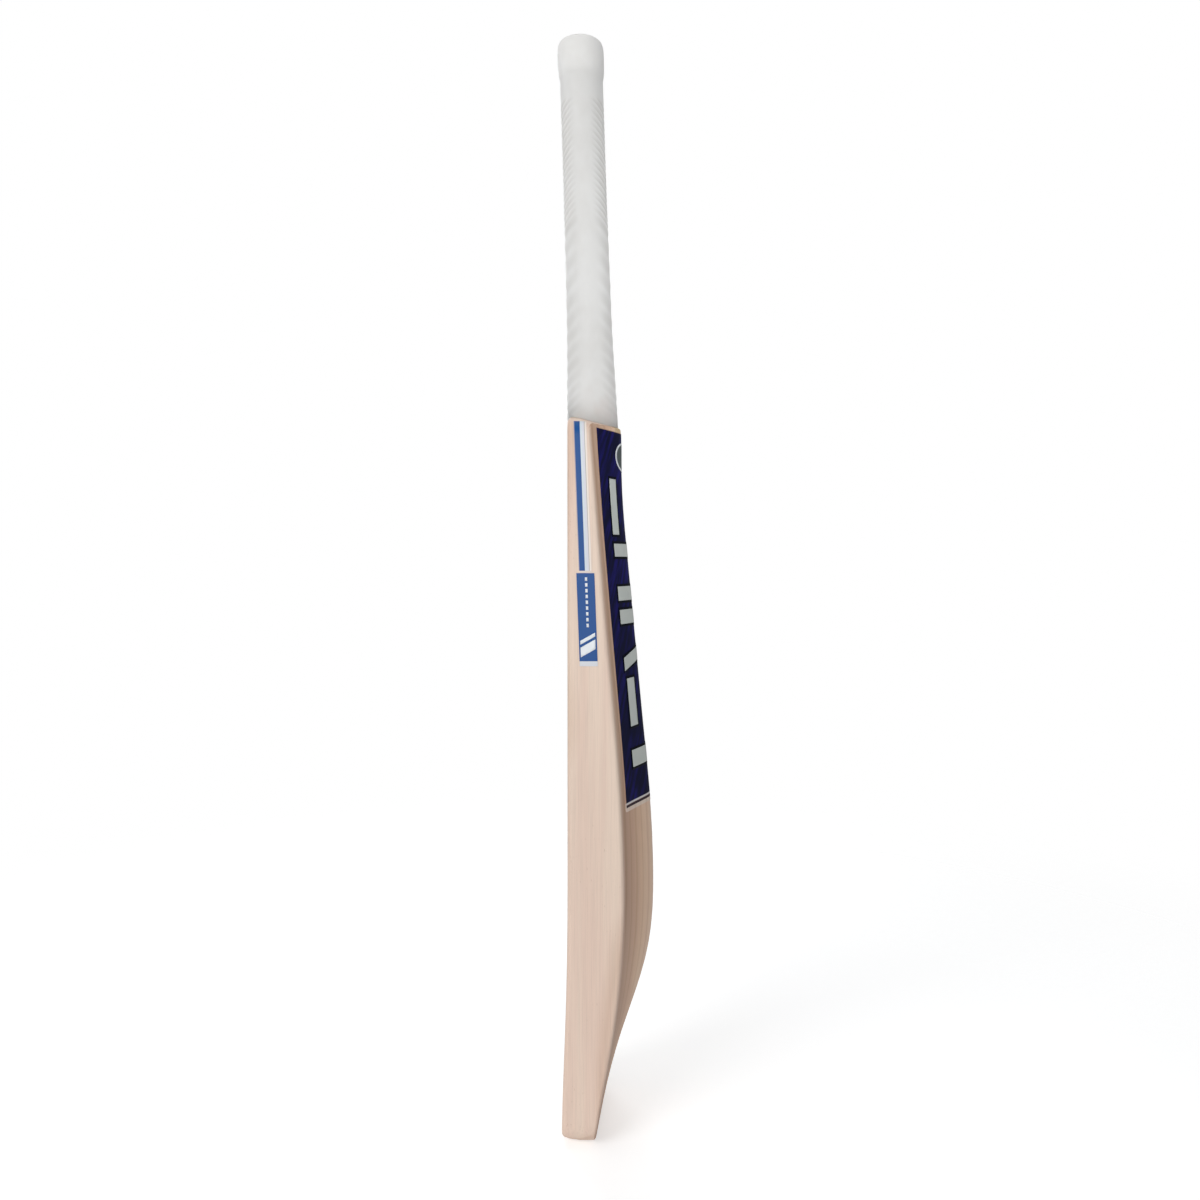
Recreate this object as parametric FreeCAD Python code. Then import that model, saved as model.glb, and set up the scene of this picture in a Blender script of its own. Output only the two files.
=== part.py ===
import FreeCAD, Part
import math
import os

# A short-handle cricket bat in millimetres, standing on its toe with the handle up.
# X runs across the blade, Y from the playing face (-Y) to the back (+Y), and Z along the bat.
# The origin is at the bottom of the bat, in the middle of its bounding box.
#
# The blade is one cleft of willow with a V-shaped slot in its shoulders. The handle is
# laminated from four slabs of cane, each of three slips, with three rubber springs between
# the slabs. Its tapered foot is glued into the slot, its round part is bound with twine, and
# a rubber grip is rolled over the twine. Vinyl labels lie on the back and on both edges.

Vector = FreeCAD.Vector

# Whole bat
LENGTH = 851.0
HALF_WIDTH = 53.7
SHOULDER_HEIGHT = 553.0
FACE_Y = -29.2

# Blade cross-sections, from just below the toe to just above the shoulders:
# height, forward kick of the face, edge thickness, depth at the spine, roundness of the
# spine's ridge (a share of the half width), and hollowing of the flanks beside it.
SECTIONS = [
    (-15.0, 5.0, 19.6, 25.2, 0.50, 0.00),
    (20.0, 4.2, 26.4, 32.2, 0.40, 0.00),
    (60.0, 3.0, 32.2, 41.8, 0.30, 0.05),
    (95.0, 1.7, 36.5, 53.0, 0.20, 0.10),
    (130.0, 0.7, 39.5, 62.4, 0.15, 0.18),
    (160.0, 0.2, 41.1, 66.1, 0.13, 0.22),
    (195.0, 0.0, 41.3, 66.7, 0.13, 0.22),
    (250.0, 0.0, 39.4, 64.2, 0.13, 0.17),
    (310.0, 0.0, 35.1, 58.5, 0.13, 0.11),
    (380.0, 0.0, 28.7, 51.9, 0.14, 0.06),
    (450.0, 0.0, 22.6, 45.2, 0.15, 0.02),
    (510.0, 0.0, 17.8, 41.1, 0.16, 0.00),
    (575.0, 0.0, 14.0, 36.4, 0.18, 0.00),
]
FACE_CROWN = 0.5
BLOCK_HALF_WIDTH = 58.0
BACK_STATIONS = (1.0, 0.85, 0.68, 0.5, 0.34, 0.2, 0.1, 0.0)

# Blade outline, seen from the front
TOE_RADIUS = 20.5
# The toe curves up towards the face and the shoulders fall away towards the back:
# y, how far the toe has risen there, and how far the shoulders have dropped
OUTLINES = [
    (FACE_Y - 15, 6.6, 0.0),
    (-28.0, 1.1, 0.3),
    (-20.0, 0.0, 1.2),
    (FACE_Y + 85, 0.0, 22.0),
]
SHOULDER_RADIUS = 13.0
SHOULDER_SLOPE = math.radians(10)
CROWN_HALF_WIDTH = 10.0
FACE_EDGE_RADIUS = 3.2
BACK_EDGE_RADIUS = 2.2

# Splice: the tapered foot of the handle
SPLICE_TIP_HEIGHT = 414.0
SPLICE_TIP_HALF_WIDTH = 3.0
SPLICE_ROOT_HALF_WIDTH = 16.5

# Handle: height, width and depth of the bare cane
HANDLE = [
    (528.0, 33.4, 35.2),
    (556.0, 33.0, 34.8),
    (584.0, 31.4, 33.1),
    (610.0, 30.2, 31.4),
    (650.0, 29.4, 30.3),
    (690.0, 29.0, 29.5),
    (730.0, 28.8, 28.9),
    (790.0, 28.7, 28.8),
    (849.0, 28.7, 28.8),
]
HANDLE_ROOT_Y = -11.0
HANDLE_LEAN = 0.0325
CANE_TOP = 848.8
SPRING_THICKNESS = 1.6
SPRING_PITCH = 8.4
SLIP_HALF_WIDTH = 4.8

# Coverings of the handle
TWINE_THICKNESS = 0.7
TWINE_TOP = 847.6
COVERING_FOOT_DROP = 1.2
COVERING_FOOT_SLOPE = 0.27
GRIP_THICKNESS = 1.85
GRIP_HOLE_RADIUS = 9.5
GRIP_RIM_RADIUS = 1.8
# The cuff at the top of the grip: height and diameter
CUFF = [(820.0, 33.4), (825.5, 35.8), (837.0, 36.7), (845.5, 36.2), (LENGTH, 34.2)]

# Labels
LABEL_THICKNESS = 0.3
BACK_LABEL_HALF_WIDTH = 44.0
BACK_LABEL_BOTTOM = 251.0
BACK_LABEL_TOP = 541.5
BACK_LABEL_CORNER = 1.5
EDGE_STRIPE_WIDTH = 9.6
EDGE_STRIPE_TOP = 545.0
EDGE_BLOCK_WIDTH = 13.4
EDGE_BLOCK_TOP = 432.0
EDGE_BLOCK_BOTTOM = 362.5
EDGE_LABEL_Y_AT_TOP = -20.0
EDGE_LABEL_LEAN = -0.0365
EDGE_LABEL_REACH = 22.0


def polygon_prism(points, direction):
    """A closed polygon swept along a direction."""
    wire = Part.makePolygon(points + [points[0]])
    return Part.Face(wire).extrude(direction)


def rounded_rectangle_prism(half_width, bottom, top, corner, y_start, depth):
    """A rounded rectangle in the X-Z plane, swept along +Y."""
    box = Part.makeBox(2 * half_width, depth, top - bottom, Vector(-half_width, y_start, bottom))
    corners = [e for e in box.Edges if abs(e.tangentAt(e.FirstParameter).y) > 0.99]
    return box.makeFillet(corner, corners)


def face_y(x, kick, extra):
    """The playing face's Y at a distance x from the middle, raised outward by extra."""
    return FACE_Y - kick - extra - FACE_CROWN * (1 - (x / HALF_WIDTH) ** 2)


def back_y(x, section, extra):
    """The back's Y at a distance x from the middle, raised outward by extra."""
    height, kick, edge, spine, ridge, hollow = section
    share = abs(x) / HALF_WIDTH
    slope = (math.hypot(share, ridge) - ridge) / (math.hypot(1, ridge) - ridge)
    rise = (1 - slope) * (1 - hollow * slope)
    return FACE_Y - kick + edge + (spine - edge) * rise + extra


def section_wire(section, face_extra, back_extra):
    """One closed cross-section of the blade's block: a crowned face, two sides and a ridged back."""
    height, kick = section[0], section[1]
    w = BLOCK_HALF_WIDTH
    left = Vector(-w, face_y(w, kick, face_extra), height)
    middle = Vector(0, face_y(0, kick, face_extra), height)
    right = Vector(w, face_y(w, kick, face_extra), height)
    xs = [w * s for s in BACK_STATIONS] + [-w * s for s in reversed(BACK_STATIONS[:-1])]
    back_points = [Vector(x, back_y(x, section, back_extra), height) for x in xs]
    back = Part.BSplineCurve()
    back.interpolate(back_points)
    edges = [
        Part.Arc(left, middle, right).toShape(),
        Part.makeLine(right, back_points[0]),
        back.toShape(),
        Part.makeLine(back_points[-1], left),
    ]
    return Part.Wire(edges)


def blade_block(face_extra=0.0, back_extra=0.0):
    """The blade's profile run along the whole blade, wider than the finished blade."""
    wires = [section_wire(s, face_extra, back_extra) for s in SECTIONS]
    return Part.makeLoft(wires, True, False)


def outline_wire(y, toe_rise, shoulder_drop, extra):
    """The blade's outline from the front, in the plane of that y."""
    half = HALF_WIDTH + extra
    toe = TOE_RADIUS + extra
    radius = SHOULDER_RADIUS + extra
    root = SHOULDER_HEIGHT + extra - shoulder_drop
    rise = math.tan(SHOULDER_SLOPE)

    def slope_z(x):
        return root - (x - SPLICE_ROOT_HALF_WIDTH) * rise

    centre_x = half - radius
    tangent_x = centre_x + radius * math.sin(SHOULDER_SLOPE)
    centre_z = slope_z(tangent_x) - radius * math.cos(SHOULDER_SLOPE)
    turn = math.pi / 4 - SHOULDER_SLOPE / 2
    shoulder_x = centre_x + radius * math.cos(turn)
    shoulder_z = centre_z + radius * math.sin(turn)
    top_radius = CROWN_HALF_WIDTH / math.sin(SHOULDER_SLOPE)
    top_z = slope_z(CROWN_HALF_WIDTH) + top_radius * (1 - math.cos(SHOULDER_SLOPE))
    bottom = toe_rise - extra
    toe_x = half - toe * (1 - math.sqrt(0.5))
    toe_z = bottom + toe * (1 - math.sqrt(0.5))

    def p(x, z):
        return Vector(x, y, z)

    def side(s):
        """The edges from the toe's flat up to the crown, on the side of the sign s."""
        return [
            Part.Arc(p(s * (half - toe), bottom), p(s * toe_x, toe_z), p(s * half, bottom + toe)),
            Part.LineSegment(p(s * half, bottom + toe), p(s * half, centre_z)),
            Part.Arc(
                p(s * half, centre_z),
                p(s * shoulder_x, shoulder_z),
                p(s * tangent_x, slope_z(tangent_x)),
            ),
            Part.LineSegment(
                p(s * tangent_x, slope_z(tangent_x)),
                p(s * CROWN_HALF_WIDTH, slope_z(CROWN_HALF_WIDTH)),
            ),
        ]

    crown = Part.Arc(
        p(CROWN_HALF_WIDTH, slope_z(CROWN_HALF_WIDTH)),
        p(0, top_z),
        p(-CROWN_HALF_WIDTH, slope_z(CROWN_HALF_WIDTH)),
    )
    flat = Part.LineSegment(p(-(half - toe), bottom), p(half - toe, bottom))
    curves = [flat] + side(1) + [crown] + list(reversed(side(-1)))
    return Part.Wire([c.toShape() for c in curves])


def outline_solid(extra=0.0):
    """Everything inside the blade's outline, from in front of the face to behind the spine."""
    return Part.makeLoft([outline_wire(*row, extra) for row in OUTLINES], True, True)


def largest_face(solid, towards):
    """The largest face whose middle looks along a direction."""
    def score(face):
        middle = face.Surface.parameter(face.CenterOfMass)
        return face.Area if face.normalAt(*middle).dot(towards) > 0.7 else 0

    return max(solid.Faces, key=score)


def whole_blade():
    """The finished blade before the slot is cut, with its edges rounded over."""
    solid = blade_block().common(outline_solid()).Solids[0]
    solid = solid.makeFillet(FACE_EDGE_RADIUS, largest_face(solid, Vector(0, -1, 0)).OuterWire.Edges)
    back_edges = largest_face(solid, Vector(0, 1, 0)).OuterWire.Edges
    return solid.makeFillet(BACK_EDGE_RADIUS, back_edges)


def splice_prism():
    """The V of the splice, run right through the blade and up past the shoulders."""
    taper = (SPLICE_ROOT_HALF_WIDTH - SPLICE_TIP_HALF_WIDTH) / (SHOULDER_HEIGHT - SPLICE_TIP_HEIGHT)
    top = SHOULDER_HEIGHT + 12
    top_half = SPLICE_TIP_HALF_WIDTH + taper * (top - SPLICE_TIP_HEIGHT)
    y = FACE_Y - 20
    corners = [
        Vector(-SPLICE_TIP_HALF_WIDTH, y, SPLICE_TIP_HEIGHT),
        Vector(SPLICE_TIP_HALF_WIDTH, y, SPLICE_TIP_HEIGHT),
        Vector(top_half, y, top),
        Vector(-top_half, y, top),
    ]
    return polygon_prism(corners, Vector(0, 100, 0))


def handle_y(height):
    """The Y of the handle's centre line, which leans forward from the shoulders up."""
    return HANDLE_ROOT_Y - HANDLE_LEAN * (height - SHOULDER_HEIGHT)


def oval(height, width, depth):
    """A closed oval across the handle, centred on its line."""
    y = handle_y(height)
    deep = max(depth, width + 0.02) / 2
    centre = Vector(0, y, height)
    ellipse = Part.Ellipse(Vector(0, y + deep, height), Vector(width / 2, y, height), centre)
    return Part.Wire([ellipse.toShape()])


def handle_loft(extra):
    """The handle's round part, grown outward by extra."""
    wires = [oval(z, width + 2 * extra, depth + 2 * extra) for z, width, depth in HANDLE]
    return Part.makeLoft(wires, True, False)


def below(height):
    """Everything lower than a height, around the handle."""
    return Part.makeBox(200, 200, height + 100, Vector(-100, -100, -100))


def cane_core(blade):
    """The whole laminated handle: its round part above the shoulders and its foot in the slot."""
    shaft = handle_loft(0).common(below(CANE_TOP)).cut(blade)
    foot = blade.common(splice_prism())
    return shaft.fuse(foot).removeSplitter()


def leaning_slab(front, back):
    """A slab that follows the handle's lean, between two distances from its centre line."""
    low, high = SPLICE_TIP_HEIGHT - 20, LENGTH + 20
    corners = [
        Vector(-80, handle_y(low) + front, low),
        Vector(-80, handle_y(low) + back, low),
        Vector(-80, handle_y(high) + back, high),
        Vector(-80, handle_y(high) + front, high),
    ]
    return polygon_prism(corners, Vector(160, 0, 0))


def cane_and_springs(core):
    """Twelve cane slips in four slabs, and three rubber springs between the slabs."""
    half = SPRING_THICKNESS / 2
    far = 60.0
    lines = [-SPRING_PITCH, 0.0, SPRING_PITCH]
    limits = [-far] + [y + side for y in lines for side in (-half, half)] + [far]
    slabs = ("front", "front_middle", "back_middle", "back")
    columns = {
        "left": (-far, -SLIP_HALF_WIDTH),
        "centre": (-SLIP_HALF_WIDTH, SLIP_HALF_WIDTH),
        "right": (SLIP_HALF_WIDTH, far),
    }
    parts = {}
    for i, slab in enumerate(slabs):
        layer = core.common(leaning_slab(limits[2 * i], limits[2 * i + 1]))
        for side, (x0, x1) in columns.items():
            column = Part.makeBox(x1 - x0, 300, LENGTH, Vector(x0, -150, 100))
            parts[f"cane_slip_{slab}_{side}"] = layer.common(column)
    for name, y in zip(("front", "middle", "back"), lines):
        parts[f"rubber_spring_{name}"] = core.common(leaning_slab(y - half, y + half))
    return parts


def above_shoulders(solid, blade):
    """The part of a handle covering that stands above the shoulders and the slope of its own foot."""
    def foot(y):
        return SHOULDER_HEIGHT - COVERING_FOOT_DROP - COVERING_FOOT_SLOPE * (y - FACE_Y)

    corners = [(-60, foot(-60)), (60, foot(60)), (60, LENGTH + 50), (-60, LENGTH + 50)]
    room = polygon_prism([Vector(-100, y, z) for y, z in corners], Vector(200, 0, 0))
    return solid.common(room).cut(blade)


def largest_solid(shape):
    """The biggest of a shape's solids."""
    return max(shape.Solids, key=lambda s: s.Volume)


def twine(blade):
    """The twine binding, as one thin wound sleeve."""
    sleeve = handle_loft(TWINE_THICKNESS).cut(handle_loft(0)).common(below(TWINE_TOP))
    return largest_solid(above_shoulders(sleeve, blade))


def grip(blade, core):
    """The rubber grip: a sleeve with a thicker cuff and a lip that folds in over the handle's end."""
    tube = handle_loft(TWINE_THICKNESS + GRIP_THICKNESS).common(below(CUFF[1][0]))
    cuff = Part.makeLoft([oval(z, d, d) for z, d in CUFF], True, False)
    rim = [e for e in cuff.Edges if e.BoundBox.ZMin > LENGTH - 0.1]
    cuff = cuff.makeFillet(GRIP_RIM_RADIUS, rim)
    hole_y = handle_y(LENGTH)
    hole = Part.makeCylinder(GRIP_HOLE_RADIUS, 40, Vector(0, hole_y, LENGTH - 20))
    filling = handle_loft(TWINE_THICKNESS).common(below(TWINE_TOP))
    sleeve = tube.fuse(cuff).cut(filling).cut(core).cut(hole)
    return largest_solid(above_shoulders(sleeve, blade))


def back_label():
    """The broad label on the upper back, wrapped over the spine."""
    outline = rounded_rectangle_prism(
        BACK_LABEL_HALF_WIDTH, BACK_LABEL_BOTTOM, BACK_LABEL_TOP, BACK_LABEL_CORNER, FACE_Y + 8, 80
    )
    return outline.common(blade_block(back_extra=LABEL_THICKNESS)).cut(blade_block())


def edge_label(side):
    """The label on one edge: a narrow stripe from the shoulder down and a wider block below it."""
    def middle(z):
        return EDGE_LABEL_Y_AT_TOP + EDGE_LABEL_LEAN * (z - EDGE_STRIPE_TOP)

    stripe, block = EDGE_STRIPE_WIDTH / 2, EDGE_BLOCK_WIDTH / 2
    rows = [
        (EDGE_STRIPE_TOP, stripe),
        (EDGE_BLOCK_TOP, stripe),
        (EDGE_BLOCK_TOP, block),
        (EDGE_BLOCK_BOTTOM, block),
    ]
    inside = side * (HALF_WIDTH - EDGE_LABEL_REACH)
    front = [Vector(inside, middle(z) - half, z) for z, half in rows]
    back = [Vector(inside, middle(z) + half, z) for z, half in reversed(rows)]
    outline = polygon_prism(front + back, Vector(side * 40, 0, 0))
    skin = outline_solid(extra=LABEL_THICKNESS).cut(outline_solid())
    return largest_solid(outline.common(skin))


def main():
    os.makedirs("parts", exist_ok=True)
    blade = whole_blade()
    core = cane_core(blade)
    parts = {"blade": blade.cut(splice_prism())}
    parts.update(cane_and_springs(core))
    parts["handle_twine"] = twine(blade)
    parts["rubber_grip"] = grip(blade, core)
    parts["back_label"] = back_label()
    parts["edge_label_right"] = edge_label(1)
    parts["edge_label_left"] = edge_label(-1)
    for name, shape in parts.items():
        shape.exportStep(f"parts/{name}.step")
        box = shape.BoundBox
        print(
            f"{name:32s} solids {len(shape.Solids)} valid {shape.isValid()} "
            f"volume {shape.Volume / 1000:9.3f} cm3  "
            f"x {box.XMin:.1f}..{box.XMax:.1f} y {box.YMin:.1f}..{box.YMax:.1f} "
            f"z {box.ZMin:.1f}..{box.ZMax:.1f}"
        )


main()
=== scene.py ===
import math

import bmesh
import bpy
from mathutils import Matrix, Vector
from mathutils.bvhtree import BVHTree


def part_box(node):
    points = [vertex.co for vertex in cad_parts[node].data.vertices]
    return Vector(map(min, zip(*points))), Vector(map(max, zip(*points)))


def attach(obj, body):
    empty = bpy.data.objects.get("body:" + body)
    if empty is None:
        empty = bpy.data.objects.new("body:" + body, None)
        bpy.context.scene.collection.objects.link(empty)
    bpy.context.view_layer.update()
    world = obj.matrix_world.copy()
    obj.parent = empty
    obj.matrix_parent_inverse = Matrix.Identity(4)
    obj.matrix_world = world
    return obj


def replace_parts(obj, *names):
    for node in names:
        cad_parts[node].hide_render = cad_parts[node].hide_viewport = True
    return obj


# The looks of a short-handle cricket bat around its CAD frame. Lengths are in millimetres
# until they reach a mesh or a light, and MM turns them into Blender's metres.

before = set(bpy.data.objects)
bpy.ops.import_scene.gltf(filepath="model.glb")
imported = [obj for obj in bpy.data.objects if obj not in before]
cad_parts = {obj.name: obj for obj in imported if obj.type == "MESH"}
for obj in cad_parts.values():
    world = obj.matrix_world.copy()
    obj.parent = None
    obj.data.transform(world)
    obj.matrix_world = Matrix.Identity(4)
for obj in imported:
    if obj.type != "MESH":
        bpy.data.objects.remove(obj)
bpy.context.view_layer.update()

MM = 0.001

# Grip: rings up its side, segments round it, and its ribs
GRIP_RINGS = 430
GRIP_SEGMENTS = 160
RIB_TOP = 803.0
RIB_FOOT = (553.0, 560.0)
RIB_DEPTH = 0.5
# The wide ribs low on the grip are this share of the depth, up to where the fine ribs start
WIDE_RIB_SHARE = 0.6
FINE_RIB_START = (685.0, 705.0)
# The height of a rib that leaves the grip's wall where it stands
RIB_MIDDLE = 0.62
# How far a rib climbs from the front or back towards the side, for each millimetre round
RIB_RISE = 0.62
# Rib pitch at each height
RIB_PITCH = [(540.0, 6.5), (562.0, 8.0), (580.0, 11.0), (618.0, 13.0), (640.0, 15.0),
             (692.0, 15.0), (702.0, 5.1), (830.0, 5.1)]
RIM_START = 843.0
# The rim: how far it is inset from the cuff's side, and height
RIM = [(0.05, 844.6), (0.25, 846.2), (0.6, 847.6), (1.15, 848.8), (1.9, 849.8), (2.9, 850.5),
       (4.2, 850.9), (5.6, 851.0)]
# The lip round the hole, and its underside over the cane: radius, and height
LIP = [(11.0, 850.95), (10.1, 850.7), (9.68, 850.2), (9.6, 849.5), (9.7, 848.9), (14.55, 848.9),
       (14.55, 847.75)]
BORE_TOP = 847.3
BORE_RADIUS = 15.2
BORE_RINGS = 16
RUBBER_SCATTER = 14.0

# Twine: pitch of its turns, depth of the grooves between them, and its outside and inside
TWINE_PITCH = 1.3
TWINE_RIDGE = 0.24
TWINE_RADIUS = 15.1
CANE_RADIUS = 14.4
TWINE_BORE_RINGS = 12
TWINE_SEGMENTS = 56
TWINE_RINGS_PER_TURN = 4

# Printed films on the labels
FILM_LIFT = 0.08
FILM_THICKNESS = 0.07
FILM_GRID = 1.6
OUTLINE_GROWTH = 1.9

# Where rays look for the handle's walls: their start, the radii accepted, and the heights of the feet
RAY_START = 60.0
WALL_RANGE = (12.0, 25.0)
FOOT_RANGE = (530.0, 575.0)

# Back label: its clear margin at the sides and top, and the lines above its foot
MARGIN_SIDE = 0.9
MARGIN_TOP = 0.35
NAVY_FOOT = 6.4
SILVER_LINE = (5.3, 6.5)
DARK_LINE = (2.9, 5.0)
STREAK_ANGLE = math.radians(32)

# Edge label: lines across the stripe from its middle, and the strip at the block's foot
BLUE_END = -0.1
SILVER_END = 2.9
GREY_LINE = (2.9, 3.4)
STRIPE_RIM = 4.2
BLOCK_FOOT = 3.5

# Camera and room
FLOOR_REACH = 12.0
FLOOR_FADE = (250.0, 1100.0)
FLOOR_GLOW = 0.44
FLOOR_BOUNCE = 0.10
AMBIENT = 0.30
# Disk lights: name, place and target in metres, size in metres, and power in watts
AREA_LIGHTS = [
    ("key", (1.7, -1.6, 1.3), (0, 0, 0.45), 1.6, 28),
    ("front_fill", (2.2, 0.0, 0.6), (0, 0, 0.45), 1.2, 13),
    ("top", (0.2, 0.1, 2.6), (0, 0, 0.4), 1.4, 5),
    ("far_fill", (-1.8, -0.5, 1.1), (0, 0, 0.45), 1.4, 14),
]
# Snooted lights: name, place and target in metres, spread in degrees, and power in watts
SNOOTED_LIGHTS = [
    ("handle_back", (0.9, 1.5, 0.9), (0, 0, 0.66), 21.0, 56.0),
    ("handle_front", (0.3, -1.6, 0.9), (0, 0, 0.70), 18.0, 24.0),
]
CAMERA_DISTANCE = 782.3
CAMERA_HEIGHT = 440.4
CAMERA_Y = -5.0
CAMERA_PITCH = 0.507
CAMERA_LENS = 29.46
CAMERA_SHIFT = -0.025


# ---------------------------------------------------------------- shader helpers

def srgb(red, green, blue):
    """An 8-bit sRGB colour as linear RGBA."""
    def linear(value):
        value /= 255
        return value / 12.92 if value <= 0.04045 else ((value + 0.055) / 1.055) ** 2.4

    return (linear(red), linear(green), linear(blue), 1.0)


class Shader:
    """A Principled material and short calls to build its node tree."""

    def __init__(self, name, roughness, **fixed):
        self.material = bpy.data.materials.new(name)
        self.material.use_nodes = True
        self.tree = self.material.node_tree
        self.surface = self.tree.nodes["Principled BSDF"]
        self.surface.inputs["Roughness"].default_value = roughness
        for socket, value in fixed.items():
            self.surface.inputs[socket.replace("_", " ")].default_value = value

    def node(self, kind, inputs=(), **settings):
        """A new node, with its inputs fed by sockets or numbers."""
        made = self.tree.nodes.new("ShaderNode" + kind)
        for key, value in settings.items():
            setattr(made, key, value)
        for key, value in dict(inputs).items():
            self.feed(made.inputs[key], value)
        return made

    def feed(self, socket, value):
        if isinstance(value, bpy.types.NodeSocket):
            self.tree.links.new(value, socket)
        else:
            socket.default_value = value

    def math(self, operation, *values):
        return self.node("Math", dict(enumerate(values)), operation=operation).outputs[0]

    def place(self):
        """The point on the bat in millimetres, as a vector and as its X, Y and Z."""
        point = self.node("TexCoord").outputs["Object"]
        scaled = self.node("VectorMath", {0: point, "Scale": 1 / MM}, operation="SCALE").outputs[0]
        parts = self.node("SeparateXYZ", {0: scaled}).outputs
        return scaled, parts[0], parts[1], parts[2]

    def noise(self, point, scale, detail=3.0, roughness=0.55):
        """Noise from 0 to 1 whose features are stretched by a scale on each axis."""
        stretched = self.node("VectorMath", {0: point, 1: scale}, operation="MULTIPLY").outputs[0]
        made = self.node("TexNoise", {"Vector": stretched, "Scale": 1.0, "Detail": detail,
                                      "Roughness": roughness})
        return made.outputs["Fac"]

    def ramp(self, value, stops):
        """A colour, or a grey given as a number, at each position of a value from 0 to 1."""
        made = self.node("ValToRGB", {"Fac": value})
        elements = made.color_ramp.elements
        while len(elements) < len(stops):
            elements.new(0.5)
        for element, (position, colour) in zip(elements, stops):
            element.position = position
            element.color = colour if isinstance(colour, tuple) else (colour, colour, colour, 1.0)
        return made.outputs["Color"]

    def mix(self, share, first, second, blend="MIX"):
        """The first colour, with a share of the second blended into it."""
        made = self.node("Mix", {"Factor": share}, data_type="RGBA", blend_type=blend)
        self.feed(made.inputs[6], first)
        self.feed(made.inputs[7], second)
        return made.outputs[2]

    def step(self, value, low, high):
        """0 below low, 1 above high, and smooth between them."""
        made = self.node("MapRange", {"Value": value, "From Min": low, "From Max": high},
                         interpolation_type="SMOOTHSTEP")
        return made.outputs[0]

    def bump(self, height, depth_mm, strength):
        made = self.node("Bump", {"Height": height, "Distance": depth_mm * MM,
                                  "Strength": strength})
        self.feed(self.surface.inputs["Normal"], made.outputs["Normal"])

    def paint(self, colour, roughness=None):
        self.feed(self.surface.inputs["Base Color"], colour)
        if roughness is not None:
            self.feed(self.surface.inputs["Roughness"], roughness)
        return self.material


# ---------------------------------------------------------------- materials

# A noise's scale is how many features it has in a millimetre along X, Y and Z.
CREAM = srgb(226, 205, 188)
PINK = srgb(222, 197, 181)
LATEWOOD = srgb(186, 150, 124)
FLECK = srgb(140, 96, 66)
# Painted shade on the back of the blade: how much of red, green and blue the willow there keeps, from
# the spine out to its corners
BACK_SHADE_AT_SPINE = (1.06, 0.97, 0.89, 1.0)
BACK_SHADE_IN_HOLLOW = (0.96, 0.84, 0.72, 1.0)
BACK_SHADE_NEAR_CORNER = (0.68, 0.57, 0.50, 1.0)
CLEAN = (1.0, 1.0, 1.0, 1.0)
HALF_WIDTH = 54.0
RING_PITCH = 12.0
# How far the rings wander, and how much their spacing changes
RING_SWAY = 26.0
RING_SPREAD = 30.0
CANE_SHADE = srgb(206, 178, 134)
CANE_BUNDLE = srgb(138, 100, 62)
SPRING_DARK = srgb(34, 30, 28)
SPRING_PALE = srgb(58, 52, 48)
TWINE_PALE = srgb(206, 178, 128)
TWINE_DARK = srgb(176, 140, 92)
RUBBER_PALE = srgb(240, 239, 236)
RUBBER_DULL = srgb(232, 230, 226)
# Grey of the painted shade in the valleys between the grip's ribs
RUBBER_VALLEY_SHADE = srgb(200, 197, 190)
# Pink of the painted reflection of the willow on the grip
RUBBER_WOOD_REFLECTION = srgb(232, 216, 210)
# The painted reflection of the willow is strongest at the grip's foot and gone at this height
WOOD_REFLECTION_RANGE = (585.0, 552.0)
NAVY = srgb(5, 7, 44)
VIOLET = srgb(24, 20, 98)
CLEAR_VINYL = srgb(226, 222, 216)
LINE_DARK = srgb(62, 46, 52)
LINE_SILVER = srgb(206, 204, 206)
BLUE_DEEP = srgb(6, 72, 134)
BLUE_PALE = srgb(28, 76, 142)
STRIPE_SILVER = srgb(202, 214, 220)
STRIPE_GREY = srgb(206, 206, 214)
# Pale cream of the painted highlight along the edge's back corner
STRIPE_CORNER_HIGHLIGHT = srgb(232, 222, 212)
STRIPE_LINE = srgb(150, 148, 146)
STRIPE_EDGE = srgb(214, 198, 190)
GAP_COLOUR = srgb(214, 200, 192)
FOOT_SILVER = srgb(208, 210, 216)


def willow_colour(s):
    """Willow whose growth rings stand as sheets across the blade, with fibres along it."""
    point, x = s.place()[:2]
    sway = s.noise(point, (0.004, 0.010, 0.0022), 2.0)
    spacing = s.noise(point, (0.035, 0.002, 0.0008), 1.0)
    across = s.math("MULTIPLY_ADD", sway, RING_SWAY, x)
    across = s.math("MULTIPLY_ADD", spacing, RING_SPREAD, across)
    ring = s.math("FRACT", s.math("DIVIDE", across, RING_PITCH))
    late = s.ramp(ring, [(0.0, 0.5), (0.07, 0.0), (0.72, 0.0), (0.95, 0.8), (1.0, 0.5)])
    band = s.step(s.noise(point, (0.02, 0.085, 0.0035), 2.0), 0.36, 0.64)
    fibre = s.noise(point, (1.5, 1.5, 0.022), 4.0, 0.65)
    fine = s.noise(point, (5.0, 5.0, 0.06), 3.0)
    patch = s.step(s.noise(point, (0.012, 0.02, 0.012), 1.0), 0.50, 0.66)
    speck = s.step(s.noise(point, (1.6, 1.6, 0.22), 1.0), 0.70, 0.78)
    colour = s.mix(band, CREAM, PINK)
    colour = s.mix(s.math("MULTIPLY", late, 0.42), colour, LATEWOOD)
    shade = s.ramp(fibre, [(0.25, 0.86), (0.55, 1.0), (0.80, 1.05)])
    colour = s.mix(0.8, colour, shade, "MULTIPLY")
    fleck = s.math("MULTIPLY", patch, speck)
    colour = s.mix(s.math("MULTIPLY", fleck, 0.6), colour, FLECK)
    return colour, s.math("ADD", fibre, s.math("MULTIPLY", fine, 0.5))


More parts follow.
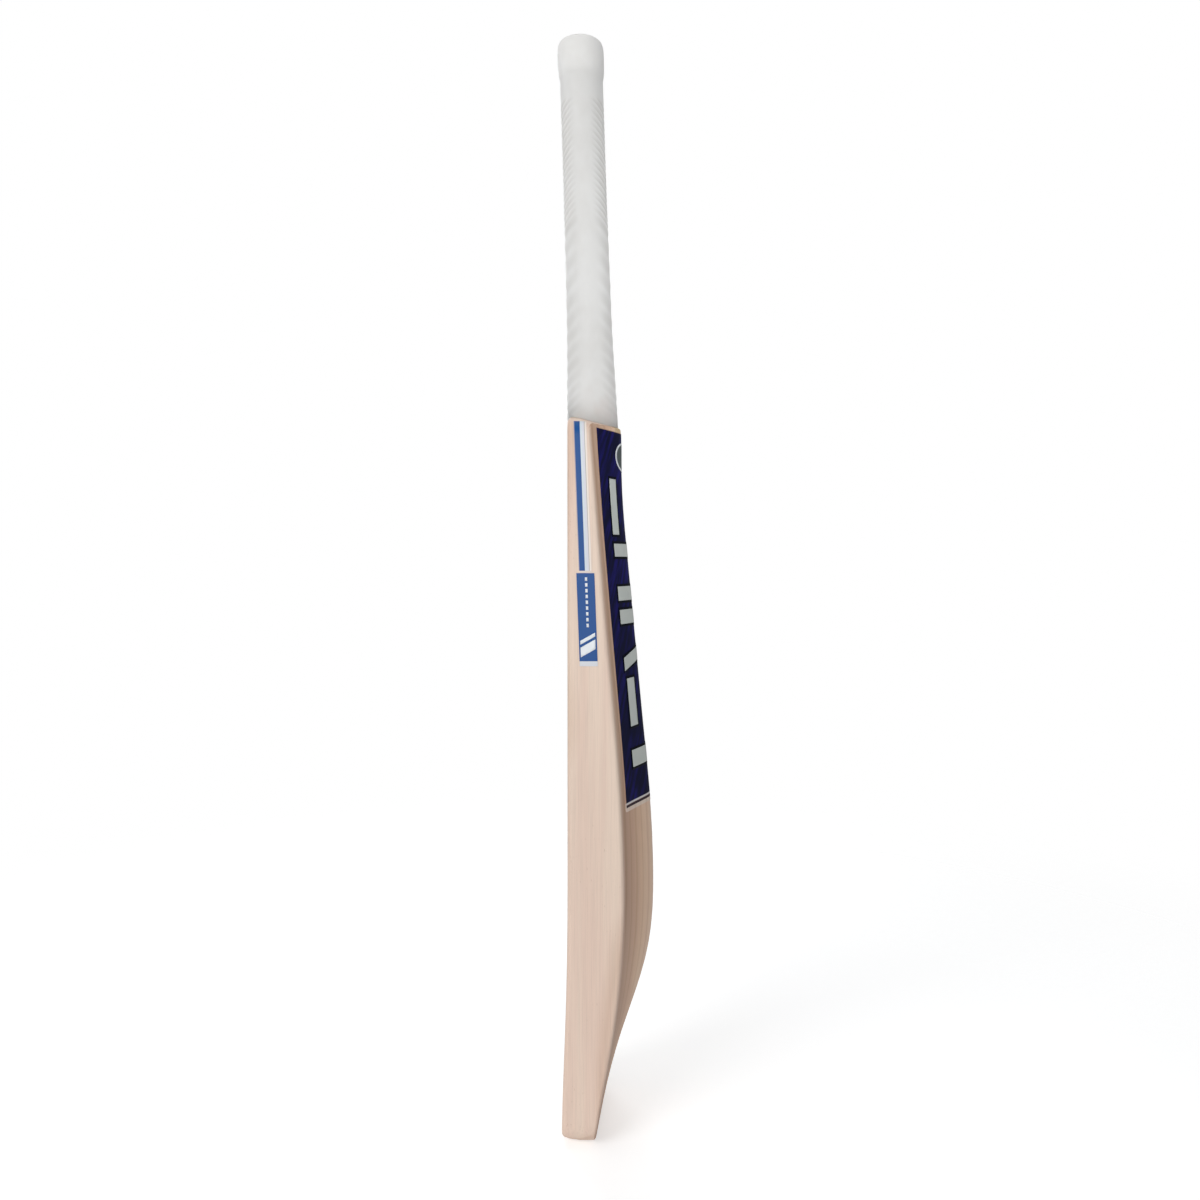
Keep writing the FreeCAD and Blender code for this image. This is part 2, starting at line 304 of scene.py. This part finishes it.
def painted_back_shade(s, colour):
    """The back of the blade, browner and darker with painted shade, most in the hollows near its
    corners.

    The painted shade is in the wood's own colour, so it shows in any light.
    """
    # Painted shade on the faces turned to the back, set by distance from the spine
    normal = s.node("SeparateXYZ", {0: s.node("TexCoord").outputs["Normal"]}).outputs[1]
    side = s.math("DIVIDE", s.math("ABSOLUTE", s.place()[1]), HALF_WIDTH)
    back_shade = s.ramp(side, [(0.10, BACK_SHADE_AT_SPINE), (0.40, BACK_SHADE_IN_HOLLOW), (0.90, BACK_SHADE_NEAR_CORNER),
                        (0.985, CLEAN)])
    return s.mix(s.step(normal, 0.30, 0.50), colour, s.mix(1.0, colour, back_shade, "MULTIPLY"))


def willow():
    s = Shader("willow", 0.5, Specular_IOR_Level=0.3)
    colour, height = willow_colour(s)
    colour = painted_back_shade(s, colour)
    s.bump(height, 0.05, 0.5)
    return s.paint(colour, s.ramp(height, [(0.3, 0.44), (1.2, 0.60)]))


def cane(tone):
    """Cane: straw, with dark fibre bundles that are dots on its ends and streaks on its sides."""
    s = Shader(f"cane_{tone}", 0.5)
    point = s.place()[0]
    drift = s.noise(point, (0.05, 0.05, 0.01), 2.0)
    flat = s.node("VectorMath", {0: point, 1: (1.7, 1.7, 0.012)}, operation="MULTIPLY").outputs[0]
    cells = s.node("TexVoronoi", {"Vector": flat, "Scale": 1.0, "Randomness": 0.85})
    bundle = s.ramp(cells.outputs["Distance"], [(0.0, 1.0), (0.22, 0.8), (0.36, 0.0)])
    light = srgb(224 - 8 * tone, 202 - 9 * tone, 164 - 8 * tone)
    colour = s.mix(drift, light, CANE_SHADE)
    colour = s.mix(s.math("MULTIPLY", bundle, 0.5), colour, CANE_BUNDLE)
    streak = s.noise(point, (2.4, 2.4, 0.03), 3.0)
    colour = s.mix(0.6, colour, s.ramp(streak, [(0.3, 0.8), (0.7, 1.05)]), "MULTIPLY")
    s.bump(s.math("SUBTRACT", streak, bundle), 0.06, 0.6)
    return s.paint(colour, s.ramp(streak, [(0.2, 0.45), (0.8, 0.62)]))


def spring_rubber():
    """Dark, grainy rubber between the slabs of cane."""
    s = Shader("spring_rubber", 0.7)
    point = s.place()[0]
    grain = s.noise(point, (1.2, 1.2, 1.2), 4.0)
    s.bump(grain, 0.06, 0.6)
    return s.paint(s.ramp(grain, [(0.3, SPRING_DARK), (0.7, SPRING_PALE)]))


def twine():
    """Waxed linen thread, with its strands twisting along each turn."""
    s = Shader("twine", 0.75, Sheen_Weight=0.25, Sheen_Roughness=0.5)
    point = s.place()[0]
    strand = s.noise(point, (2.2, 2.2, 6.0), 4.0, 0.7)
    tone = s.noise(point, (0.02, 0.02, 0.06), 2.0)
    colour = s.mix(tone, TWINE_PALE, TWINE_DARK)
    colour = s.mix(0.7, colour, s.ramp(strand, [(0.3, 0.62), (0.7, 1.05)]), "MULTIPLY")
    s.bump(strand, 0.10, 0.8)
    return s.paint(colour)


def grip_rubber():
    """Pale moulded rubber, unevenly dulled, with painted shade greying the valleys between its ribs
    and a painted pink reflection of the willow at its foot.
    """
    s = Shader("grip_rubber", 0.55, Specular_IOR_Level=0.35, Subsurface_Weight=0.6,
               Subsurface_Radius=(1.0, 1.0, 1.0), Subsurface_Scale=RUBBER_SCATTER * MM)
    point, _, _, z = s.place()
    valley_shade = s.node("Attribute", attribute_name="valley_shade").outputs["Fac"]
    cloud = s.noise(point, (0.03, 0.03, 0.02), 3.0)
    grain = s.noise(point, (2.8, 2.8, 2.8), 3.0, 0.6)
    colour = s.mix(s.step(cloud, 0.35, 0.7), RUBBER_PALE, RUBBER_DULL)
    # Painted shade: grey in the valleys between the ribs
    colour = s.mix(s.math("MULTIPLY", valley_shade, 0.35), colour, RUBBER_VALLEY_SHADE)
    # Painted reflection of the willow, pink in patches low on the grip
    wood_reflection = s.math("MULTIPLY", s.step(z, *WOOD_REFLECTION_RANGE), s.step(cloud, 0.42, 0.62))
    colour = s.mix(s.math("MULTIPLY", wood_reflection, 0.35), colour, RUBBER_WOOD_REFLECTION)
    s.bump(grain, 0.035, 0.6)
    return s.paint(colour, s.ramp(cloud, [(0.3, 0.50), (0.7, 0.64)]))


def vinyl_finish(s, point):
    """The faint orange peel of printed vinyl, rippled by the wood under it."""
    ripple = s.noise(point, (0.25, 0.25, 0.03), 2.0)
    peel = s.noise(point, (1.4, 1.4, 1.4), 2.0)
    s.bump(s.math("MULTIPLY_ADD", ripple, 2.0, peel), 0.03, 0.5)


def between(s, value, low, high, soft=0.12):
    """1 where a value lies between two limits."""
    above = s.step(value, low - soft, low + soft)
    return s.math("MULTIPLY", above, s.step(value, high + soft, high - soft))


def back_label():
    """Navy vinyl with violet streaks, a silver and a dark line at its foot, and a clear margin."""
    low, high = (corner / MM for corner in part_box("back_label"))
    half = high.x
    s = Shader("back_label_print", 0.5, Specular_IOR_Level=0.06)
    point, x, _, z = s.place()
    wood = willow_colour(s)[0]
    # The clear margin shows the willow darkened by the painted shade of the back's corners
    shaded = s.mix(1.0, wood, BACK_SHADE_NEAR_CORNER, "MULTIPLY")
    turn = {"Vector": point, "Axis": (0, 1, 0), "Angle": STREAK_ANGLE}
    turned = s.node("VectorRotate", turn).outputs[0]
    streak = s.noise(turned, (0.30, 0.05, 0.035), 3.0)
    glow = s.noise(point, (0.03, 0.03, 0.02), 2.0)
    violet = s.math("MULTIPLY", s.step(streak, 0.40, 0.66), s.step(glow, 0.3, 0.6))
    navy = s.mix(violet, NAVY, VIOLET)
    side = s.math("ABSOLUTE", x)
    within = s.step(side, half - MARGIN_SIDE, half - MARGIN_SIDE - 0.25)
    inside = s.math("MULTIPLY", within, s.step(z, low.z + NAVY_FOOT, low.z + NAVY_FOOT + 0.3))
    inside = s.math("MULTIPLY", inside, s.step(z, high.z - MARGIN_TOP, high.z - MARGIN_TOP - 0.25))
    silver = between(s, z, low.z + SILVER_LINE[0], low.z + SILVER_LINE[1])
    dark = between(s, z, low.z + DARK_LINE[0], low.z + DARK_LINE[1])
    at_foot = s.step(z, low.z + 7.0, low.z + 6.0)
    colour = s.mix(at_foot, shaded, s.mix(0.25, wood, CLEAR_VINYL))
    colour = s.mix(s.math("MULTIPLY", dark, within), colour, LINE_DARK)
    colour = s.mix(s.math("MULTIPLY", silver, within), colour, LINE_SILVER)
    colour = s.mix(inside, colour, navy)
    vinyl_finish(s, point)
    return s.paint(colour)


def edge_line(node):
    """The middle of an edge label in Y, as its value at height zero and its slope."""
    points = [v.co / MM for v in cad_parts[node].data.vertices]
    low, high = min(p.z for p in points), max(p.z for p in points)

    def middle(height):
        near = [p.y for p in points if abs(p.z - height) < 2.0]
        return (min(near) + max(near)) / 2

    slope = (middle(high) - middle(low)) / (high - low)
    return middle(low) - slope * low, slope


def edge_label(node):
    """Blue and silver stripes over a blue block, with a silver strip at its foot."""
    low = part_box(node)[0] / MM
    base, slope = edge_line(node)
    s = Shader(node + "_print", 0.4, Specular_IOR_Level=0.3)
    point, _, y, z = s.place()
    across = s.math("SUBTRACT", y, s.math("MULTIPLY_ADD", z, slope, base))
    fade = s.noise(point, (0.05, 0.1, 0.02), 2.0)
    blue = s.mix(fade, BLUE_DEEP, BLUE_PALE)
    silver = s.mix(s.step(across, -0.6, 2.6), STRIPE_SILVER, STRIPE_GREY)
    stripe = s.step(across, BLUE_END, BLUE_END - 0.2)
    colour = s.mix(stripe, silver, blue)
    # Past the silver stripe, towards the back corner, the clear border is painted pale cream as a
    # painted highlight of that corner
    clear = s.step(across, SILVER_END, SILVER_END + 0.2)
    colour = s.mix(clear, colour, STRIPE_CORNER_HIGHLIGHT)
    grey = s.math("MULTIPLY", between(s, across, *GREY_LINE), 0.8)
    colour = s.mix(grey, colour, STRIPE_LINE)
    rim = s.step(s.math("ABSOLUTE", across), STRIPE_RIM, STRIPE_RIM + 0.2)
    colour = s.mix(s.math("MULTIPLY", rim, 0.55), colour, STRIPE_EDGE)
    foot_top = low.z + BLOCK_FOOT
    below_top = s.step(z, EDGE_BLOCK_TOP - 0.2, EDGE_BLOCK_TOP - 0.5)
    block = s.math("MULTIPLY", below_top, s.step(z, foot_top, foot_top + 0.3))
    gap = between(s, z, EDGE_BLOCK_TOP - 0.3, EDGE_BLOCK_TOP + 1.4)
    colour = s.mix(gap, colour, GAP_COLOUR)
    colour = s.mix(block, colour, blue)
    foot = s.step(z, foot_top + 0.3, foot_top)
    colour = s.mix(foot, colour, FOOT_SILVER)
    vinyl_finish(s, point)
    return s.paint(colour)


def film(name, colour, roughness, metallic=0.0, gloss=0.3):
    """A printed film of one colour, faintly clouded."""
    s = Shader(name, roughness, Metallic=metallic, Specular_IOR_Level=gloss)
    point = s.place()[0]
    vinyl_finish(s, point)
    cloud = s.noise(point, (0.08, 0.08, 0.05), 2.0)
    return s.paint(s.mix(0.7, colour, s.ramp(cloud, [(0.3, 0.90), (0.7, 1.0)]), "MULTIPLY"))


# ---------------------------------------------------------------- mesh helpers

def surface_of(node):
    """The CAD node's surface, ready for rays."""
    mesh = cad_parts[node].data
    polygons = [tuple(p.vertices) for p in mesh.polygons]
    return BVHTree.FromPolygons([v.co for v in mesh.vertices], polygons)


def add_piece(name, mesh, material):
    """Links a mesh as a smooth piece that rides on the bat."""
    made = bpy.data.objects.new(name, mesh)
    bpy.context.scene.collection.objects.link(made)
    mesh.materials.append(material)
    mesh.shade_smooth()
    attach(made, "root")
    return made


def tube_mesh(name, rings):
    """Rings of points joined into a tube, and the last ring joined to the first."""
    count = len(rings[0])
    points = [p for ring in rings for p in ring]
    faces = []
    for i in range(len(rings)):
        a, b = i * count, (i + 1) % len(rings) * count
        for j in range(count):
            k = (j + 1) % count
            faces.append((a + j, a + k, b + k, b + j))
    mesh = bpy.data.meshes.new(name)
    mesh.from_pydata(points, [], faces)
    return mesh


def smooth_step(value, low, high):
    """0 below low, 1 above high, and smooth between them."""
    share = min(1.0, max(0.0, (value - low) / (high - low)))
    return share * share * (3 - 2 * share)


# ---------------------------------------------------------------- handle

def handle_line():
    """The handle's middle in Y, as its value at height zero and its slope, from the CAD twine."""
    points = [v.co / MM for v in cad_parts["handle_twine"].data.vertices]
    top = max(p.z for p in points)

    def middle(low, high):
        near = [p for p in points if low <= p.z <= high]
        ys = [p.y for p in near]
        return (min(ys) + max(ys)) / 2, sum(p.z for p in near) / len(near)

    (y0, z0), (y1, z1) = middle(580, 590), middle(top - 3, top)
    slope = (y1 - y0) / (z1 - z0)
    return y0 - slope * z0, slope


class Handle:
    """Answers how far the grip's and the twine's CAD walls are from the handle's line."""

    def __init__(self):
        self.base, self.slope = handle_line()
        self.grip = surface_of("rubber_grip")
        self.twine = surface_of("handle_twine")

    def centre(self, z):
        return Vector((0, self.base + self.slope * z, z))

    def wall(self, surface, angle, z, inside):
        """The distance to a wall at an angle from the front, or None below its foot."""
        out = Vector((math.sin(angle), -math.cos(angle), 0))
        centre = self.centre(z)
        if inside:
            hit = surface.ray_cast(centre * MM, out)[0]
        else:
            hit = surface.ray_cast((centre + out * RAY_START) * MM, -out)[0]
        if hit is None:
            return None
        reach = (hit / MM - centre).dot(out)
        return reach if WALL_RANGE[0] < reach < WALL_RANGE[1] else None

    def foot(self, surface, angle, inside):
        """The lowest height at which a wall stands at an angle."""
        low, high = FOOT_RANGE
        for _ in range(14):
            middle = (low + high) / 2
            if self.wall(surface, angle, middle, inside) is None:
                low = middle
            else:
                high = middle
        return high + 0.02


def rib_phase():
    """A function from height to the number of ribs below it."""
    heights, counts = [RIB_PITCH[0][0]], [0.0]
    for (z0, p0), (z1, p1) in zip(RIB_PITCH, RIB_PITCH[1:]):
        for i in range(20):
            step = (z1 - z0) / 20
            pitch = p0 + (p1 - p0) * (i + 0.5) / 20
            heights.append(heights[-1] + step)
            counts.append(counts[-1] + step / pitch)

    def phase(z):
        z = min(max(z, heights[0]), heights[-1] - 0.001)
        i = max(k for k in range(len(heights)) if heights[k] <= z)
        share = (z - heights[i]) / (heights[i + 1] - heights[i])
        return counts[i] + (counts[i + 1] - counts[i]) * share

    return phase


def rib_height(angle, z, radius, phase):
    """From 0 in a valley to 1 on a rib, and how strong the ribs are there."""
    facing = abs(math.cos(angle))
    strength = smooth_step(facing, 0.28, 0.80) * smooth_step(RIB_TOP - z, 0.0, 3.0)
    strength *= WIDE_RIB_SHARE + (1 - WIDE_RIB_SHARE) * smooth_step(z, *FINE_RIB_START)
    level = z - RIB_RISE * radius * math.acos(min(1.0, facing))
    wave = 0.5 + 0.5 * math.cos(2 * math.pi * phase(level))
    return wave ** 1.6, strength * smooth_step(z, *RIB_FOOT)


def make_grip(handle, material):
    """The ribbed grip: its side, its cuff and rim, the lip round the cane's end, and its bore."""
    angles = [2 * math.pi * j / GRIP_SEGMENTS for j in range(GRIP_SEGMENTS)]
    outs = [Vector((math.sin(a), -math.cos(a), 0)) for a in angles]
    feet = [handle.foot(handle.grip, a, False) for a in angles]
    phase = rib_phase()
    valley_shade = []
    rings = []
    for i in range(GRIP_RINGS):
        ring = []
        for j, angle in enumerate(angles):
            z = feet[j] + (RIM_START - feet[j]) * i / (GRIP_RINGS - 1)
            radius = handle.wall(handle.grip, angle, z, False)
            if radius is None:
                radius = handle.wall(handle.grip, angle, z + 0.5, False)
            wave, strength = rib_height(angle, z, radius, phase)
            shift = RIB_DEPTH * strength * (wave - RIB_MIDDLE)
            # How deep in a valley each point lies, for the rubber's painted shade
            valley_shade.append(strength * (1 - wave))
            ring.append((handle.centre(z) + outs[j] * (radius + shift)) * MM)
        rings.append(ring)
    rim_radii = [handle.wall(handle.grip, a, RIM_START, False) for a in angles]
    for inset, z in RIM:
        rings.append([(handle.centre(z) + o * (r - inset)) * MM for o, r in zip(outs, rim_radii)])
    for radius, z in LIP:
        rings.append([(handle.centre(z) + o * radius) * MM for o in outs])
    bore_feet = [handle.foot(handle.grip, a, True) for a in angles]
    for i in range(BORE_RINGS):
        ring = []
        for j, angle in enumerate(angles):
            z = BORE_TOP + (bore_feet[j] - BORE_TOP) * i / (BORE_RINGS - 1)
            radius = handle.wall(handle.grip, angle, z, True) or BORE_RADIUS
            ring.append((handle.centre(z) + outs[j] * radius) * MM)
        rings.append(ring)
    mesh = tube_mesh("grip_ribbed", rings)
    count = len(mesh.vertices)
    values = valley_shade + [0.0] * (count - len(valley_shade))
    mesh.attributes.new("valley_shade", "FLOAT", "POINT").data.foreach_set("value", values)
    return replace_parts(add_piece("grip_ribbed", mesh, material), "rubber_grip")


def make_twine(handle, material):
    """The twine binding: one thread wound round the cane, modelled as its ridged outside."""
    angles = [2 * math.pi * j / TWINE_SEGMENTS for j in range(TWINE_SEGMENTS)]
    outs = [Vector((math.sin(a), -math.cos(a), 0)) for a in angles]
    feet = [handle.foot(handle.twine, a, False) for a in angles]
    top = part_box("handle_twine")[1].z / MM - 0.1
    count = int((top - max(feet)) / TWINE_PITCH * TWINE_RINGS_PER_TURN)
    rings = []
    for i in range(count + 1):
        ring = []
        for j, angle in enumerate(angles):
            z = feet[j] + (top - feet[j]) * i / count
            radius = handle.wall(handle.twine, angle, z, False) or TWINE_RADIUS
            turn = math.pi * (z / TWINE_PITCH + angle / (2 * math.pi))
            radius -= TWINE_RIDGE * (1 - abs(math.sin(turn)))
            ring.append((handle.centre(z) + outs[j] * radius) * MM)
        rings.append(ring)
    for i in range(TWINE_BORE_RINGS):
        ring = []
        for j, angle in enumerate(angles):
            z = top + (feet[j] + 0.6 - top) * i / (TWINE_BORE_RINGS - 1)
            radius = handle.wall(handle.twine, angle, z, True) or CANE_RADIUS
            ring.append((handle.centre(z) + outs[j] * (radius + 0.02)) * MM)
        rings.append(ring)
    mesh = tube_mesh("twine_winding", rings)
    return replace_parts(add_piece("twine_winding", mesh, material), "handle_twine")


# ---------------------------------------------------------------- printed films

def lay_film(name, polygons, node, side, lift, material):
    """Cuts flat polygons into a grid and lays them on a label.

    The side is "back", or +1 or -1 for an edge.
    """
    surface = surface_of(node)
    sheet = bmesh.new()
    for polygon in polygons:
        sheet.faces.new([sheet.verts.new((u, v, 0)) for u, v in polygon])
    bmesh.ops.remove_doubles(sheet, verts=sheet.verts, dist=1e-4)
    for axis in (0, 1):
        values = [v.co[axis] for v in sheet.verts]
        line = math.floor(min(values) / FILM_GRID) * FILM_GRID + 0.013
        while line < max(values):
            where = Vector((line, 0, 0)) if axis == 0 else Vector((0, line, 0))
            geometry = sheet.verts[:] + sheet.edges[:] + sheet.faces[:]
            across = where.normalized()
            bmesh.ops.bisect_plane(sheet, geom=geometry, plane_co=where, plane_no=across)
            line += FILM_GRID
    for vert in sheet.verts:
        u, v = vert.co.x, vert.co.y
        if side == "back":
            start, way = Vector((u, 200, v)), Vector((0, -1, 0))
        else:
            start, way = Vector((200 * side, u, v)), Vector((-side, 0, 0))
        hit, normal = surface.ray_cast(start * MM, way)[:2]
        if hit is None:
            raise RuntimeError(f"{name} reaches past {node} at {u:.1f}, {v:.1f}")
        vert.co = hit + normal * lift * MM
    sheet.normal_update()
    outward = sum(f.normal.dot(way) * f.calc_area() for f in sheet.faces)
    if outward > 0:
        bmesh.ops.reverse_faces(sheet, faces=sheet.faces[:])
    mesh = bpy.data.meshes.new(name)
    sheet.to_mesh(mesh)
    sheet.free()
    made = add_piece(name, mesh, material)
    thick = made.modifiers.new("thickness", "SOLIDIFY")
    thick.thickness = FILM_THICKNESS * MM
    thick.offset = 1.0
    return made


def bar(u0, u1, v0, v1, slant=0.0):
    """A bar between two u and two v, whose v rises by slant for each unit of u."""
    left, right = slant * u0, slant * u1
    return [(u0, v0 + left), (u1, v0 + right), (u1, v1 + right), (u0, v1 + left)]


def oval_point(radius, k):
    """Point k round the badge, whose height is twice a radius and whose width is more."""
    angle = 2 * math.pi * k / BADGE_SIDES
    return radius * BADGE_STRETCH * math.cos(angle), BADGE_HEIGHT + radius * math.sin(angle)


def oval_ring(inner, outer):
    """A flat oval ring, as quads."""
    return [[oval_point(outer, k), oval_point(outer, k + 1),
             oval_point(inner, k + 1), oval_point(inner, k)] for k in range(BADGE_SIDES)]


def oval(radius):
    """A filled oval, as one polygon."""
    return [[oval_point(radius, k) for k in range(BADGE_SIDES)]]


# Plain bars on the back label. Cross bars: foot, top. Rails: inner and outer reach from the
# spine, foot, top. The chevron: foot and top at its ends.
BACK_CROSS_BARS = [(444.0, 454.0), (410.0, 421.0), (392.0, 403.0), (282.0, 295.0)]
BACK_RAILS = [(17.5, 28.0, 461.0, 504.0), (14.0, 26.0, 313.0, 350.0)]
BACK_CHEVRON = (356.0, 366.0)
BACK_CHEVRON_RISE = 8.0
BACK_REACH = 28.0
BADGE_HEIGHT = 522.6
BADGE_RADIUS = 11.6
BADGE_RIM = 1.6
BADGE_STRETCH = 1.42
BADGE_SIDES = 64


def grown(polygon):
    """The polygon grown outward from its own middle on both axes."""
    middle_u = sum(u for u, v in polygon) / len(polygon)
    middle_v = sum(v for u, v in polygon) / len(polygon)
    return [(u + math.copysign(OUTLINE_GROWTH, u - middle_u),
             v + math.copysign(OUTLINE_GROWTH, v - middle_v)) for u, v in polygon]


def make_back_print(silver, shadow, pale, dark):
    """Plain silver bars in dark outlines, and an oval badge above them."""
    bars = [bar(-BACK_REACH, BACK_REACH, v0, v1) for v0, v1 in BACK_CROSS_BARS]
    for u0, u1, v0, v1 in BACK_RAILS:
        bars += [bar(u0, u1, v0, v1), bar(-u1, -u0, v0, v1)]
    v0, v1 = BACK_CHEVRON
    top0, top1 = v0 + BACK_CHEVRON_RISE, v1 + BACK_CHEVRON_RISE
    bars.append([(0.0, top0), (BACK_REACH, v0), (BACK_REACH, v1), (0.0, top1)])
    bars.append([(-BACK_REACH, v0), (0.0, top0), (0.0, top1), (-BACK_REACH, v1)])
    lay_film("back_bar_outlines", [grown(b) for b in bars], "back_label", "back", FILM_LIFT, shadow)
    lay_film("back_bars", bars, "back_label", "back", FILM_LIFT * 2 + FILM_THICKNESS, silver)
    # The oval reaches a little under the ring
    inner = BADGE_RADIUS - BADGE_RIM
    lay_film("badge_oval", oval(inner + 0.2), "back_label", "back", FILM_LIFT, dark)
    ring = oval_ring(inner, BADGE_RADIUS)
    lay_film("badge_ring", ring, "back_label", "back", FILM_LIFT * 2, pale)


EDGE_BLOCK_TOP = 432.0
EDGE_TICKS = 9
EDGE_TICK_TOP = 428.5
EDGE_TICK_PITCH = 4.3
EDGE_TICK_LENGTH = 2.6
EDGE_TICK_SIDES = (-0.5, 1.2)
EDGE_BANDS = [(372.2, 379.4), (381.6, 384.4)]
EDGE_BAND_REACH = 5.6
EDGE_BAND_SLANT = 0.55


def make_edge_print(name, node, side, pale):
    """A column of ticks and two slanted bands on the block of an edge label."""
    base, slope = edge_line(node)

    def shifted(polygon):
        return [(u + base + slope * v, v) for u, v in polygon]

    ticks = []
    for i in range(EDGE_TICKS):
        top = EDGE_TICK_TOP - i * EDGE_TICK_PITCH
        ticks.append(shifted(bar(*EDGE_TICK_SIDES, top - EDGE_TICK_LENGTH, top)))
    lay_film(f"edge_ticks_{name}", ticks, node, side, FILM_LIFT, pale)
    reach = EDGE_BAND_REACH
    bands = [shifted(bar(-reach, reach, v0, v1, EDGE_BAND_SLANT)) for v0, v1 in EDGE_BANDS]
    lay_film(f"edge_bands_{name}", bands, node, side, FILM_LIFT, pale)


# ---------------------------------------------------------------- room

def add_light(name, kind, place, target, power):
    """A light in the scene, turned from its place towards its target."""
    light = bpy.data.lights.new(name, kind)
    light.energy = power
    made = bpy.data.objects.new(name, light)
    made.location = place
    made.rotation_euler = (Vector(target) - Vector(place)).to_track_quat("-Z", "Y").to_euler()
    bpy.context.scene.collection.objects.link(made)
    return light


def make_lights():
    """Soft disk lights round the bat, and snooted ones that are kept to its handle."""
    for name, place, target, size, power in AREA_LIGHTS:
        light = add_light(name, "AREA", place, target, power)
        light.shape = "DISK"
        light.size = size
    for name, place, target, spread, power in SNOOTED_LIGHTS:
        light = add_light(name, "SPOT", place, target, power)
        light.spot_size = math.radians(spread)
        light.spot_blend = 0.6
        light.shadow_soft_size = 0.25


def make_floor():
    """A pale floor that fades into the white background. Its glow is for the camera, not the bat."""
    mesh = bpy.data.meshes.new("floor")
    corners = [(-1, -1), (1, -1), (1, 1), (-1, 1)]
    mesh.from_pydata([(x * FLOOR_REACH, y * FLOOR_REACH, 0) for x, y in corners], [], [(0, 1, 2, 3)])
    made = bpy.data.objects.new("floor", mesh)
    made.location.z = -0.0002
    bpy.context.scene.collection.objects.link(made)
    s = Shader("floor", 0.9, Emission_Color=(1, 1, 1, 1))
    seen = s.node("LightPath").outputs["Is Camera Ray"]
    glow = s.math("MULTIPLY_ADD", seen, FLOOR_GLOW - FLOOR_BOUNCE, FLOOR_BOUNCE)
    s.feed(s.surface.inputs["Emission Strength"], glow)
    point = s.place()[0]
    away = s.node("VectorMath", {0: point}, operation="LENGTH").outputs["Value"]
    s.feed(s.surface.inputs["Alpha"], s.step(away, FLOOR_FADE[1], FLOOR_FADE[0]))
    cloud = s.noise(point, (0.002, 0.002, 0.002), 1.0)
    mesh.materials.append(s.paint(s.ramp(cloud, [(0.3, 0.86), (0.7, 0.89)])))


def make_world():
    """White behind the bat, and softer light from all round."""
    world = bpy.data.worlds.new("studio")
    bpy.context.scene.world = world
    world.use_nodes = True
    tree = world.node_tree
    seen = tree.nodes["Background"]
    seen.inputs["Color"].default_value = (1, 1, 1, 1)
    seen.inputs["Strength"].default_value = 1.0
    ambient = tree.nodes.new("ShaderNodeBackground")
    ambient.inputs["Color"].default_value = (0.96, 0.98, 1.0, 1)
    ambient.inputs["Strength"].default_value = AMBIENT
    path = tree.nodes.new("ShaderNodeLightPath")
    mix = tree.nodes.new("ShaderNodeMixShader")
    tree.links.new(path.outputs["Is Camera Ray"], mix.inputs[0])
    tree.links.new(ambient.outputs[0], mix.inputs[1])
    tree.links.new(seen.outputs[0], mix.inputs[2])
    tree.links.new(mix.outputs[0], tree.nodes["World Output"].inputs["Surface"])


def make_camera():
    """A camera beside the bat, on the side of one edge."""
    data = bpy.data.cameras.new("camera")
    data.lens = CAMERA_LENS
    data.sensor_width = 36.0
    data.shift_y = CAMERA_SHIFT
    data.clip_start = 0.01
    made = bpy.data.objects.new("camera", data)
    made.location = Vector((CAMERA_DISTANCE, CAMERA_Y, CAMERA_HEIGHT)) * MM
    made.rotation_euler = (math.radians(90 - CAMERA_PITCH), 0, math.radians(90))
    bpy.context.scene.collection.objects.link(made)
    bpy.context.scene.camera = made


def dress_cad():
    """Gives every CAD node that stays in sight its material."""
    dress = {"blade": willow(), "back_label": back_label()}
    canes = [cane(tone) for tone in range(3)]
    slips = sorted(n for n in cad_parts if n.startswith("cane_slip"))
    dress.update({n: canes[i % 3] for i, n in enumerate(slips)})
    rubber = spring_rubber()
    dress.update({n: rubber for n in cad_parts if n.startswith("rubber_spring")})
    for node in ("edge_label_right", "edge_label_left"):
        dress[node] = edge_label(node)
    for node, material in dress.items():
        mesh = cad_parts[node].data
        mesh.materials.clear()
        mesh.materials.append(material)


def main():
    dress_cad()
    handle = Handle()
    make_grip(handle, grip_rubber())
    make_twine(handle, twine())
    silver = film("film_silver", srgb(206, 211, 206), 0.36, 0.15)
    shadow = film("film_shadow", srgb(6, 8, 22), 0.5, gloss=0.04)
    pale = film("film_pale", srgb(228, 232, 236), 0.35)
    dark = film("film_dark", srgb(70, 80, 80), 0.4)
    make_back_print(silver, shadow, pale, dark)
    make_edge_print("right", "edge_label_right", 1, pale)
    make_edge_print("left", "edge_label_left", -1, pale)

    make_floor()
    make_world()
    make_lights()
    bpy.context.scene.view_settings.view_transform = "Standard"
    make_camera()


main()
